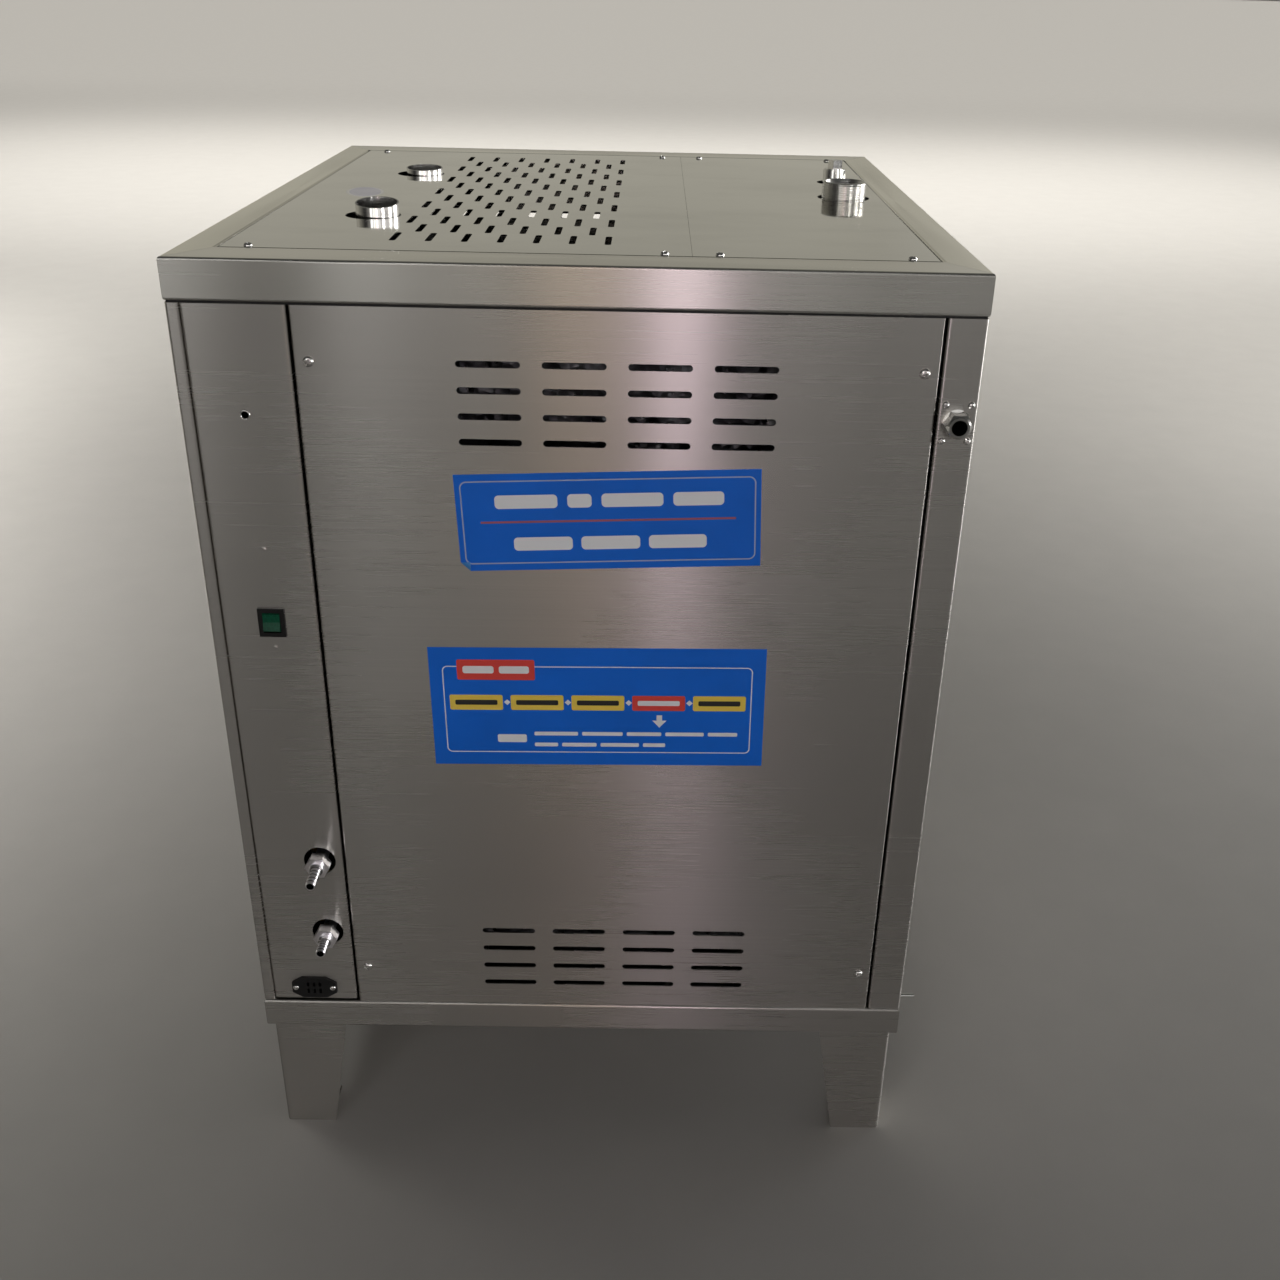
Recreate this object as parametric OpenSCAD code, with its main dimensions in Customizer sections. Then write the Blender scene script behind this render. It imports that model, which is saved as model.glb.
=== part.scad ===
// Gas-fired steam boiler in a free-standing stainless sheet-metal cabinet.
// Inside the cabinet every place is measured from one corner of the drawing: x from the
// middle of the cabinet, y back from its front plane, z up from the floor. place() then
// carries that corner to the model's own origin.

/* [Cabinet] */
// Width over the top rim and the base rails
cabinet_w = 700; // [660:5:800]
// Depth from the front plane to the back plane
cabinet_d = 800; // [760:5:900]
// Height of the top of the rim above the floor
cabinet_h = 980; // [960:5:1060]
// How far the panels stand behind the faces of the rim and the rails
panel_set = 2; // [1:0.5:4]
// Set-back of the side panels behind the rim's sides
side_set = 0; // [0:0.5:3]
// Thickness of the panel sheets
sheet_t = 1.5; // [1:0.1:2]
// Inside radius of every bend in the sheets
bend_r = 1; // [0.5:0.1:1.5]
// Depth that a panel's edges are turned in
edge_turn = 15; // [10:1:20]

/* [Legs and base] */
// Height of the legs
leg_h = 149; // [120:1:200]
// Thickness of the leg plate
leg_t = 3; // [2:0.5:4]
// Width of each leg face at the top
leg_top_w = 80; // [70:1:100]
// Width of each leg face at the floor
leg_foot_w = 56; // [50:1:66]
// How far the legs stand behind the faces of the rails
leg_set = 6; // [4:1:12]
// Diameter of the anchor hole in each foot plate
anchor_d = 11; // [8:1:14]
// Height of the base rails
rail_h = 35; // [25:1:50]
// Thickness of the rails
rail_t = 2; // [1.5:0.5:3]
// Width of the rails' lower flange
rail_foot_w = 40; // [30:1:60]
// Width of the rails' upper flange
rail_seat_w = 25; // [20:1:28]

/* [Top rim] */
// Height of the rim's face
rim_h = 36; // [28:1:50]
// Width of the rim's flange at the front and back
rim_front_w = 50; // [40:1:70]
// Width of the rim's flange at the two sides
rim_side_w = 34; // [28:1:50]
// Width of the lip under the front and back edges of the top plates
ledge_w = 18; // [15:1:24]
// Width of the rim's lower flange
rim_foot_w = 12; // [10:1:16]
// Thickness of the seal between the rim and the panels
seal_t = 2; // [1.5:0.5:4]
// Gap beside the top plates
plate_gap = 3; // [1:0.5:5]
// Gap in front of and behind the top plates
plate_end_gap = 1; // [1:0.1:3]
// Distance of the joint between the two top plates from the right side
joint_side = 253; // [230:1:290]

/* [Front] */
// Width of the left side panel's front lap, from the cabinet's edge
left_lap_w = 12; // [11:1:14]
// Width of the right side panel's front lap, from the cabinet's edge
right_lap_w = 35; // [35:1:45]
// Width of the service panel
service_w = 90; // [88:0.5:94]
// Gap beside the access panel
access_gap = 2; // [2:0.5:4]
// Gap under the service panel
service_gap = 3; // [2:0.5:8]
// Fine gap between two sheets that meet
joint_gap = 0.3; // [0.1:0.1:0.5]

/* [Vents] */
// Length of a front vent slot
vent_l = 56; // [50:1:64]
// Height of a front vent slot
vent_h = 6; // [5:0.5:8]
// Distance between the slots of a row
vent_pitch_x = 74.7; // [70:0.1:80]
// Distance between the rows
vent_pitch_z = 23.3; // [18:0.1:30]
// Drop from the top of the access panel to the upper block's middle
vent_top_drop = 82.5; // [70:0.5:110]
// Rise from the foot of the access panel to the lower block's middle
vent_foot_rise = 64.5; // [55:0.5:90]
// Length of a slot in the top plate
roof_slot_l = 42; // [36:1:44]
// Width of a slot in the top plate
roof_slot_w = 6; // [5:0.5:8]
// Distance between the slots of one row in the top plate
roof_pitch_x = 32.3; // [30:0.1:34]
// Distance between the rows in the top plate
roof_pitch_y = 47; // [46:0.5:49]
// Distance of the slot field's middle from the left side
roof_field_side = 275; // [274:1:280]

/* [Pipes] */
// Outside diameter of the flue stubs
flue_d = 42.4; // [40:0.1:46]
// Wall of the flue stubs
flue_wall = 1.5; // [1:0.1:2]
// Diameter of their holes in the top plate
flue_hole_d = 54; // [52:0.5:55]
// Distance of the flue stubs from the left side
flue_side = 141; // [140:1:142]
// How far the flue stubs stand beside the middle of their holes
flue_shift = 4.5; // [0:0.5:5]
// Place of the two flue stubs, back from the front
flue_y = [233, 536];
// Their height above the top, on the axis
flue_rise = [12, 7];
// Slope of their cut ends, in degrees, with the low side in front
flue_slope = [7, 3.5];
// Outside diameter of the threaded steam stub
stub_d = 47.8; // [42:0.1:50]
// Bore of the threaded steam stub
stub_bore = 41; // [34:0.5:42]
// Height of the threaded steam stub above the top
stub_rise = 17.5; // [12:0.5:30]
// Distance of the threaded steam stub from the right side
stub_side = 77.5; // [76:0.5:90]
// Its place, back from the front
stub_back = 415; // [380:5:430]
// Diameter of its hole in the top plate
stub_hole_d = 57; // [56:0.5:60]
// Outside diameter of the plugged nipple behind it
nipple_d = 26.9; // [24:0.1:30]
// Bore of that nipple
nipple_bore = 21; // [18:0.5:22]
// Height of the nipple above the top
nipple_rise = 14.5; // [10:0.5:20]
// Distance of the nipple from the right side
nipple_side = 74; // [70:1:80]
// Place of the nipple, back from the front
nipple_back = 536; // [500:2:580]
// Diameter of its hole in the top plate
nipple_hole_d = 40; // [36:0.5:42]
// Width across the plug's square head
plug_head = 12; // [10:0.5:14]
// Height of the plug's head
plug_h = 11; // [8:0.5:14]

/* [Steam outlet] */
// Distance from the right side
outlet_side = 17.5; // [17:0.5:20]
// Drop from the top of the panels
outlet_drop = 91.5; // [60:0.5:160]
// Width across the flats of the outlet's hexagon
outlet_hex = 21; // [19:0.5:22]
// Diameter of the round face turned on the hexagon
outlet_face = 18; // [17:0.5:20]
// Bore of the outlet
outlet_bore = 14; // [10:0.5:16]
// How far the outlet stands out of the front plane
outlet_reach = 13; // [8:1:20]

/* [Gas inlets] */
// Distance from the service panel's right edge
barb_inset = 24; // [23:0.5:27]
// Heights of the two hose tails above the base rails
barb_rise = [186.5, 94.5];
// How far the hose tails stand out of the front plane
barb_reach = 43; // [40:1:60]
// How much shorter the lower hose tail is
barb_less = 8; // [0:1:10]
// Width across the flats of the hexagon
barb_hex = 22; // [20:1:26]
// Diameter over the ribs
barb_d = 11; // [10:0.5:14]
// Bore of the hose tail
barb_bore = 7; // [4:0.5:8]
// Number of ribs
barb_ribs = 5; // [3:1:6]
// Diameter of the holes in the service panel
barb_hole_d = 33; // [32:1:36]

/* [Switch and socket] */
// Drop of the switch from the top of the panels
switch_drop = 298; // [240:0.5:380]
// Shift of the switch to the right of the panel's middle
switch_shift = 1.5; // [0:0.5:4]
// Width of the switch's frame
switch_w = 25; // [20:0.5:26]
// Height of the switch's frame
switch_h = 29; // [28:0.5:34]
// Clearance around the rocker
rocker_gap = 0.5; // [0.3:0.1:0.8]
// Tilt of the rocker to each side
rocker_tilt = 9; // [6:1:12]
// Height of the power socket above the base rails
socket_rise = 19.5; // [19:0.5:31]
// Width of the power socket's flange
socket_w = 48; // [46:1:52]
// Height of the power socket's flange
socket_h = 27; // [24:1:28]

/* [Inside] */
// Space under the insulated boiler body
body_rise = 72.5; // [50:0.5:110]
// Space between the boiler body and the top plates
body_head = 83.5; // [65:0.5:100]
// Distance of the boiler body from the left side
body_left = 110; // [104:1:112]
// Distance of the boiler body from the right side
body_right = 45; // [42:1:50]
// Space in front of and behind the boiler body
body_space = 60; // [50:1:90]
// How far the pin in the right side stands out
pin_reach = 16; // [10:1:20]
// Diameter of that pin
pin_d = 4; // [3:0.5:5]

/* [Hidden] */
$fn = 48;

// Steps that draw one bend of a sheet
bend_steps = 6;
// Extra length of every cut past the face it leaves
past = 1;
half_w = cabinet_w / 2;
rail_top = leg_h + rail_h;
rim_z = cabinet_h - rim_h;
panel_top = rim_z - seal_t;
// Middle plane of the front sheets, of the back sheets and of the side sheets
front_y = panel_set + sheet_t / 2;
back_y = cabinet_d - front_y;
side_x = half_w - side_set - sheet_t / 2;
// Rear faces of the front panels' turned edges
edge_y = front_y + edge_turn;
// The side rims carry a narrower lip, so that every corner is cut along one straight line
mitre = rim_side_w / rim_front_w;
plate_z = cabinet_h - sheet_t;
side_gap_x = half_w - rim_side_w - plate_gap;
// Upright posts behind the two gaps of the access panel
post_w = 36;
post_d = 25;
service_left_x = -half_w + left_lap_w + joint_gap;
service_right_x = service_left_x + service_w;
service_x = (service_left_x + service_right_x) / 2;
access_left_x = service_right_x + access_gap;
access_right_x = half_w - right_lap_w - access_gap;
post_left_x = service_right_x - 12 + post_w / 2;
post_right_x = half_w - right_lap_w + 2 * sheet_t - post_w / 2;
valve_y = edge_y + post_d;
pan_z = leg_h + rail_t;
mid_y = cabinet_d / 2;
// Insulated boiler body and the pipes that stand on it
body_x0 = -half_w + body_left;
body_x1 = half_w - body_right;
body_mid_x = (body_x0 + body_x1) / 2;
body_z0 = pan_z + sheet_t + body_rise;
body_z1 = plate_z - body_head;
flue_x = -half_w + flue_side;
stub_x = half_w - stub_side;
nipple_x = half_w - nipple_side;
// Joint and slot field of the top plates
plate_joint_x = half_w - joint_side;
roof_field_x = -half_w + roof_field_side;
// Fittings on the front
outlet_x = half_w - outlet_side;
outlet_z = panel_top - outlet_drop;
barb_x = service_right_x - barb_inset;
barb_z = [for (rise = barb_rise) rail_top + rise];
switch_x = service_x + switch_shift;
switch_z = panel_top - switch_drop;
socket_z = rail_top + socket_rise;
// Foot plate inside each leg and the place of its anchor hole
foot_w = leg_foot_w - leg_t / 2 - 4;
anchor_in = (leg_t + leg_foot_w - 4) / 2;
// Steam outlet and the pipe behind it
outlet_back = front_y + sheet_t / 2;
outlet_tail = 22;
outlet_pipe_d = 18;
outlet_flange = [26, 3, 46];
outlet_hole_d = outlet_hex / cos(30) + 0.6;
// Pin in the right side
pin_y = front_y + 7;
pin_z = rail_top + 12;
// Body of the power socket behind the panel
socket_body_w = 27;
socket_body_h = 20;
// Rocker: a drum about trunnions that lie behind the panel
rocker_w = 16;
rocker_r = 9.9;
rocker_y = panel_set + 2;
trunnion_d = 3;
trunnion_fit = 0.1;
// Small hole with a ring, below the top of the service panel
eyelet_d = 7;
eyelet_drop = 96.5;
steel = [0.66, 0.65, 0.63];
polished = [0.80, 0.80, 0.79];
foil = [0.74, 0.75, 0.77];
black = [0.05, 0.05, 0.055];
green = [0.03, 0.26, 0.13];
brass = [0.72, 0.56, 0.30];

// Carries the cabinet's own corner to the origin: the middle of the whole outline, the
// hose tails and the side pin included, on the floor.
module place() translate([-pin_reach / 2, (barb_reach - cabinet_d) / 2, 0]) children();

function unit(v) = v / norm(v);
function left_of(v) = [-v[1], v[0]];
function turned(v, angle) = [
    v[0] * cos(angle) - v[1] * sin(angle),
    v[0] * sin(angle) + v[1] * cos(angle)
];
function reversed(list) = [for (i = [len(list) - 1:-1:0]) list[i]];

// One face of a bend at point b of the path a-b-c. side is 1 for the face on the left of
// the path and -1 for the face on its right. mid_r is the radius of the sheet's middle.
function bend_face(a, b, c, t, mid_r, side) =
    let (
        go = unit(b - a),
        leave = unit(c - b),
        angle = atan2(go[0] * leave[1] - go[1] * leave[0], go * leave),
        hand = sign(angle),
        inward = left_of(go) * hand,
        centre = b - go * mid_r * tan(abs(angle) / 2) + inward * mid_r
    )
    [for (k = [0:bend_steps])
        centre - turned(inward, angle * k / bend_steps) * (mid_r - hand * side * t / 2)];

// One face of a sheet that follows a path, with a bend at each inner point
function sheet_face(path, t, mid_r, side) =
    let (last = len(path) - 1)
    concat(
        [path[0] + left_of(unit(path[1] - path[0])) * side * t / 2],
        [for (i = [1:last - 1]) each bend_face(path[i - 1], path[i], path[i + 1], t, mid_r, side)],
        [path[last] + left_of(unit(path[last] - path[last - 1])) * side * t / 2]
    );

// Section of a folded sheet whose middle follows the path
module folded(path, t = sheet_t)
    polygon(concat(
        sheet_face(path, t, bend_r + t / 2, 1),
        reversed(sheet_face(path, t, bend_r + t / 2, -1))
    ));

// Extrudes a section drawn in x and z through the wall from y0 to y1
module through_y(y0, y1)
    translate([0, y1, 0]) rotate([90, 0, 0]) linear_extrude(y1 - y0) children();

// Extrudes a section drawn in y and z along x, centred
module along_x(length)
    rotate([90, 0, 90]) linear_extrude(length, center = true) children();

// Slot with round ends, lying along x
module slot(length, width) {
    square([length - width, width], center = true);
    for (side = [-1, 1])
        translate([side * (length - width) / 2, 0]) circle(d = width, $fn = 24);
}

// Puts a front part on one of the four sides of a frame: 0 front, 1 right, 2 back, 3 left
module on_side(side)
    translate([
        side == 1 ? half_w : side == 3 ? -half_w : 0,
        side == 0 ? 0 : side == 2 ? cabinet_d : mid_y,
        0
    ])
    rotate([0, 0, side * 90]) children();

// Rail of a frame, cut at both ends so that it meets its neighbours at the corners.
// The cut moves inward by ratio for each millimetre of depth.
module mitred_rail(length, depth, ratio, z0, z1)
    intersection() {
        along_x(length) children();
        translate([0, 0, z0 - past]) linear_extrude(z1 - z0 + 2 * past) polygon([
            [-length / 2 + joint_gap / 2, 0],
            [length / 2 - joint_gap / 2, 0],
            [length / 2 - joint_gap / 2 - depth * ratio, depth],
            [-length / 2 + joint_gap / 2 + depth * ratio, depth]
        ]);
    }

// Tapered leg of folded plate with its corner at the origin, open towards +x and +y
module leg_body() {
    mid = leg_t / 2;
    difference() {
        linear_extrude(leg_h)
            folded([[leg_top_w, mid], [mid, mid], [mid, leg_top_w]], leg_t);
        for (flip = [0, 1]) mirror([flip, -flip, 0])
            through_y(-past, leg_t + past) polygon([
                [leg_foot_w, 0],
                [leg_top_w, leg_h],
                [leg_top_w + past, leg_h + past],
                [leg_top_w + past, -past],
                [leg_foot_w, -past]
            ]);
    }
    difference() {
        translate([leg_t / 2, leg_t / 2, 0]) cube([foot_w, foot_w, leg_t]);
        translate([anchor_in, anchor_in, -past]) cylinder(d = anchor_d, h = leg_t + 2 * past);
    }
}

// Leg at one corner: right is 1 on the right side, back is 1 at the back
module leg(right, back)
    color(steel) place()
    translate([right ? half_w - leg_set : -half_w + leg_set,
               back ? cabinet_d - leg_set : leg_set, 0])
    mirror([right, 0, 0]) mirror([0, back, 0]) leg_body();

module leg_front_left() leg(0, 0);
module leg_front_right() leg(1, 0);
module leg_back_left() leg(0, 1);
module leg_back_right() leg(1, 1);

// Channel-shaped base rail with its open side towards the inside
module base_rail(side)
    color(steel) place() on_side(side)
    mitred_rail(side % 2 == 0 ? cabinet_w : cabinet_d, rail_foot_w, 1, leg_h, rail_top)
    folded([
        [rail_foot_w, leg_h + rail_t / 2],
        [rail_t / 2, leg_h + rail_t / 2],
        [rail_t / 2, rail_top - rail_t / 2],
        [rail_seat_w, rail_top - rail_t / 2]
    ], rail_t);

module base_rail_front() base_rail(0);
module base_rail_right() base_rail(1);
module base_rail_back() base_rail(2);
module base_rail_left() base_rail(3);

// Plain sheet that lies on the lower flanges of the base rails
module floor_pan() {
    inset = rail_t + bend_r + joint_gap;
    color(steel) place()
    translate([-half_w + inset, inset, pan_z])
        cube([cabinet_w - 2 * inset, cabinet_d - 2 * inset, sheet_t]);
}

// Side panel folded round the front and back corners. lap is the width of its front lap.
module side_sheet(lap) {
    lap_x = half_w - lap + sheet_t / 2;
    back_lap_x = half_w - right_lap_w + sheet_t / 2;
    translate([0, 0, rail_top]) linear_extrude(panel_top - rail_top) folded([
        [lap_x, edge_y],
        [lap_x, front_y],
        [side_x, front_y],
        [side_x, back_y],
        [back_lap_x, back_y],
        [back_lap_x, cabinet_d - edge_y]
    ]);
    // Turned-in top edge that carries the seal
    translate([side_x - edge_turn, 2 * edge_y, panel_top - sheet_t])
        cube([edge_turn, cabinet_d - 4 * edge_y, sheet_t]);
}

module side_panel_left() color(steel) place() mirror([1, 0, 0]) side_sheet(left_lap_w);

// The right panel's wide front lap has the steam outlet's hole, and its side the pin's
module side_panel_right()
    color(steel) place() difference() {
        side_sheet(right_lap_w);
        through_y(-past, edge_y - bend_r - sheet_t)
            translate([outlet_x, outlet_z]) circle(d = outlet_hole_d);
        translate([side_x, pin_y, pin_z]) rotate([0, 90, 0])
            cylinder(d = pin_d + trunnion_fit, h = edge_turn, center = true, $fn = 24);
    }

// Flat panel with its four edges turned in, standing between x0 and x1
module tray(x0, x1, z0, z1) {
    mid = sheet_t / 2;
    translate([0, 0, z0]) linear_extrude(z1 - z0) folded([
        [x0 + mid, edge_y], [x0 + mid, front_y], [x1 - mid, front_y], [x1 - mid, edge_y]
    ]);
    for (z = [z0, z1 - sheet_t])
        translate([x0 + mid, front_y, z]) cube([x1 - x0 - sheet_t, edge_turn, sheet_t]);
}

// Block of four rows of four vent slots, cut through the front sheet
module vent_block(x, z)
    through_y(-past, front_y + sheet_t)
    for (column = [-1.5:1.5], row = [-1.5:1.5])
        translate([x + column * vent_pitch_x, z + row * vent_pitch_z]) slot(vent_l, vent_h);

module vented_tray(x0, x1)
    difference() {
        tray(x0, x1, rail_top, panel_top);
        vent_block((x0 + x1) / 2, panel_top - vent_top_drop);
        vent_block((x0 + x1) / 2, rail_top + vent_foot_rise);
    }

module access_panel() color(steel) place() vented_tray(access_left_x, access_right_x);

module back_panel() {
    reach = half_w - right_lap_w - joint_gap;
    color(steel) place() translate([0, cabinet_d, 0]) mirror([0, 1, 0]) vented_tray(-reach, reach);
}

// Narrow panel with the holes for the switch, the gas inlets and the power socket
module service_panel()
    color(steel) place() difference() {
        tray(service_left_x, service_right_x, rail_top + service_gap, panel_top);
        through_y(-past, front_y + sheet_t) {
            for (z = barb_z) translate([barb_x, z]) circle(d = barb_hole_d);
            translate([switch_x, switch_z])
                square([switch_w - 2 + joint_gap, switch_h - 2 + joint_gap], center = true);
            translate([service_x, socket_z])
                square([socket_body_w + joint_gap, socket_body_h + joint_gap], center = true);
            translate([service_x, panel_top - eyelet_drop]) circle(d = eyelet_d, $fn = 24);
        }
    }

// Channel-shaped post that the turned edges of two panels lean on
module post(x)
    color(black) place()
    translate([0, 0, rail_top]) linear_extrude(panel_top - rail_top) folded([
        [x - post_w / 2 + sheet_t / 2, edge_y + post_d],
        [x - post_w / 2 + sheet_t / 2, edge_y + sheet_t / 2],
        [x + post_w / 2 - sheet_t / 2, edge_y + sheet_t / 2],
        [x + post_w / 2 - sheet_t / 2, edge_y + post_d]
    ]);

module mullion_left() post(post_left_x);
module mullion_right() post(post_right_x);

// Folded rim: small flange below, face, flange on top, then a step down by one sheet to
// the lip that carries the top plates
module rim(side) {
    flange = side % 2 == 0 ? rim_front_w : rim_side_w;
    lip = side % 2 == 0 ? ledge_w : ledge_w * mitre;
    mid = sheet_t / 2;
    color(steel) place() on_side(side)
    mitred_rail(side % 2 == 0 ? cabinet_w : cabinet_d, flange + lip,
                side % 2 == 0 ? mitre : 1 / mitre, rim_z, cabinet_h)
    folded([
        [rim_foot_w, rim_z + mid], [mid, rim_z + mid],
        [mid, cabinet_h - mid], [flange - sheet_t, cabinet_h - mid],
        [flange, plate_z - mid], [flange + lip, plate_z - mid]
    ]);
}

module rim_front() rim(0);
module rim_right() rim(1);
module rim_back() rim(2);
module rim_left() rim(3);

// Black seal between the rim and the panels
module rim_seal() {
    outer_x = side_set + sheet_t;
    outer_y = panel_set + sheet_t;
    inner = rim_foot_w;
    color(black) place()
    translate([0, 0, panel_top]) linear_extrude(seal_t) difference() {
        translate([-half_w + outer_x, outer_y])
            square([cabinet_w - 2 * outer_x, cabinet_d - 2 * outer_y]);
        translate([-half_w + inner, inner]) square([cabinet_w - 2 * inner, cabinet_d - 2 * inner]);
    }
}

// Flat plate between x0 and x1 that lies on the rim's lip
module plate(x0, x1)
    translate([x0, rim_front_w + plate_end_gap, plate_z])
        cube([x1 - x0, cabinet_d - 2 * (rim_front_w + plate_end_gap), sheet_t]);

// Thirteen rows of slots, each row moved half a step against the one before
module roof_slots()
    for (row = [-6:6])
        let (count = row % 2 == 0 ? 7 : 6)
        for (i = [0:count - 1])
            translate([
                roof_field_x + (i - (count - 1) / 2) * roof_pitch_x,
                mid_y + row * roof_pitch_y,
                plate_z - past
            ])
            linear_extrude(sheet_t + 2 * past) rotate(90) slot(roof_slot_l, roof_slot_w);

module top_plate_left()
    color(polished) place() difference() {
        plate(-side_gap_x, plate_joint_x - joint_gap / 2);
        roof_slots();
        for (y = flue_y)
            translate([flue_x - flue_shift, y, plate_z - past])
                cylinder(d = flue_hole_d, h = sheet_t + 2 * past);
    }

module top_plate_right()
    color(polished) place() difference() {
        plate(plate_joint_x + joint_gap / 2, side_gap_x);
        translate([stub_x, stub_back, plate_z - past])
            cylinder(d = stub_hole_d, h = sheet_t + 2 * past);
        translate([nipple_x, nipple_back, plate_z - past])
            cylinder(d = nipple_hole_d, h = sheet_t + 2 * past);
    }

// Channel under the joint of the top plates, from lip to lip
module top_bearer() {
    reach = rim_front_w + ledge_w + joint_gap;
    bearer_w = 40;
    bearer_h = 22;
    mid = sheet_t / 2;
    color(steel) place()
    translate([0, cabinet_d - reach, 0]) rotate([90, 0, 0])
    linear_extrude(cabinet_d - 2 * reach) folded([
        [plate_joint_x - bearer_w / 2 + mid, plate_z - bearer_h],
        [plate_joint_x - bearer_w / 2 + mid, plate_z - mid],
        [plate_joint_x + bearer_w / 2 - mid, plate_z - mid],
        [plate_joint_x + bearer_w / 2 - mid, plate_z - bearer_h]
    ]);
}

// Insulated boiler body in its foil jacket
module boiler_body() {
    corner_r = 20;
    w = body_x1 - body_x0;
    d = cabinet_d - 2 * body_space;
    color(foil) place()
    translate([body_mid_x, mid_y, body_z0]) linear_extrude(body_z1 - body_z0) {
        square([w - 2 * corner_r, d], center = true);
        square([w, d - 2 * corner_r], center = true);
        for (x = [-1, 1], y = [-1, 1])
            translate([x * (w / 2 - corner_r), y * (d / 2 - corner_r)]) circle(r = corner_r);
    }
}

// Channel that carries the boiler body on the floor pan
module cradle(side) {
    cradle_w = 60;
    x = body_mid_x + side * (body_x1 - body_x0) / 3;
    z0 = pan_z + sheet_t;
    mid = rail_t / 2;
    color(steel) place()
    translate([0, cabinet_d - body_space, 0]) rotate([90, 0, 0])
    linear_extrude(cabinet_d - 2 * body_space) folded([
        [x - cradle_w / 2 + mid, z0],
        [x - cradle_w / 2 + mid, body_z0 - mid],
        [x + cradle_w / 2 - mid, body_z0 - mid],
        [x + cradle_w / 2 - mid, z0]
    ], rail_t);
}

module cradle_left() cradle(-1);
module cradle_right() cradle(1);

// Pipe that stands on the boiler body, with a welded collar at its foot and an end that may
// be cut at a slope
module riser(x, y, d, bore, top, slope = 0) {
    collar = 8;
    whole = top - body_z1 + d * tan(slope) / 2 + past;
    color(polished) place() translate([x, y, body_z1]) difference() {
        union() {
            cylinder(d = d, h = whole);
            cylinder(d = d + 2 * collar, h = 2 * sheet_t);
        }
        translate([0, 0, -past]) cylinder(d = bore, h = whole + 2 * past);
        translate([0, 0, top - body_z1]) rotate([slope, 0, 0])
            translate([-d, -d, 0]) cube([2 * d, 2 * d, d]);
    }
}

module flue_stub(i)
    riser(flue_x, flue_y[i], flue_d, flue_d - 2 * flue_wall, cabinet_h + flue_rise[i], flue_slope[i]);
module flue_stub_front() flue_stub(0);
module flue_stub_rear() flue_stub(1);
module steam_stub() riser(stub_x, stub_back, stub_d, stub_bore, cabinet_h + stub_rise);
module test_nipple() riser(nipple_x, nipple_back, nipple_d, nipple_bore, cabinet_h + nipple_rise);

// Plug with a square head that closes the nipple
module nipple_plug() {
    spigot = 14;
    shoulder = 1.5;
    color(polished) place() translate([nipple_x, nipple_back, cabinet_h + nipple_rise]) {
        translate([0, 0, -spigot]) cylinder(d = nipple_bore - 2 * trunnion_fit, h = spigot + shoulder);
        cylinder(d = nipple_bore + 3, h = shoulder);
        rotate(25) translate([-plug_head / 2, -plug_head / 2, 0]) cube([plug_head, plug_head, plug_h]);
    }
}

// Hexagonal prism whose flats are across apart
module hexagon(across, h) cylinder(d = across / cos(30), h = h, $fn = 6);

// Steam outlet: hexagonal socket, turned round in front, on a plate that is screwed behind
// the right lap
module steam_outlet() {
    socket_l = outlet_back + outlet_reach;
    color(polished) place() translate([outlet_x, 0, outlet_z]) difference() {
        union() {
            translate([0, outlet_back, 0]) rotate([90, 0, 0]) intersection() {
                hexagon(outlet_hex, socket_l);
                cylinder(d1 = outlet_face + 2 * socket_l, d2 = outlet_face, h = socket_l);
            }
            translate([-outlet_flange[0] / 2, outlet_back, -outlet_flange[2] / 2])
                cube(outlet_flange);
            translate([0, outlet_back + outlet_tail, 0]) rotate([90, 0, 0])
                cylinder(d = outlet_pipe_d, h = outlet_tail);
        }
        translate([0, outlet_back + outlet_tail + past, 0]) rotate([90, 0, 0])
            cylinder(d = outlet_bore, h = socket_l + outlet_tail + 2 * past);
    }
}

// Run from the outlet round to the right face of the boiler body, over longer at both ends
module outlet_run(d, over) {
    turn_r = 24;
    turn_y = body_space + 30;
    translate([0, turn_y, 0]) rotate([90, 0, 0])
        cylinder(d = d, h = turn_y - outlet_back - outlet_tail + over);
    translate([-turn_r, turn_y, 0]) rotate_extrude(angle = 90)
        translate([turn_r, 0]) circle(d = d);
    translate([-turn_r, turn_y + turn_r, 0]) rotate([0, -90, 0])
        cylinder(d = d, h = outlet_x - turn_r - body_x1 + over);
}

module outlet_pipe()
    color(polished) place() translate([outlet_x, 0, outlet_z]) difference() {
        outlet_run(outlet_pipe_d, 0);
        outlet_run(outlet_bore, past);
    }

// Hose tail: hexagon, shoulder and a ribbed spout that points out of the front
module hose_tail(z, less) {
    hex_y = 12;
    shoulder = 3;
    spout = barb_reach - less - hex_y - shoulder;
    step = spout / barb_ribs;
    root_r = barb_d / 2 - 1;
    shank_d = 14;
    color(polished) place() translate([barb_x, valve_y, z]) rotate([90, 0, 0]) difference() {
        union() {
            cylinder(d = shank_d, h = valve_y + hex_y);
            translate([0, 0, valve_y]) hexagon(barb_hex, hex_y);
            translate([0, 0, valve_y + hex_y]) rotate_extrude() polygon(concat(
                [[0, 0], [barb_d / 2 + 2, 0], [barb_d / 2 + 2, shoulder]],
                [for (i = [0:barb_ribs - 1]) each [
                    [barb_d / 2, shoulder + i * step + 0.3 * step],
                    [root_r, shoulder + (i + 1) * step]
                ]],
                [[0, shoulder + spout]]
            ));
        }
        translate([0, 0, past]) cylinder(d = barb_bore, h = valve_y + barb_reach);
    }
}
module hose_tail_upper() hose_tail(barb_z[0], 0);
module hose_tail_lower() hose_tail(barb_z[1], barb_less);

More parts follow.
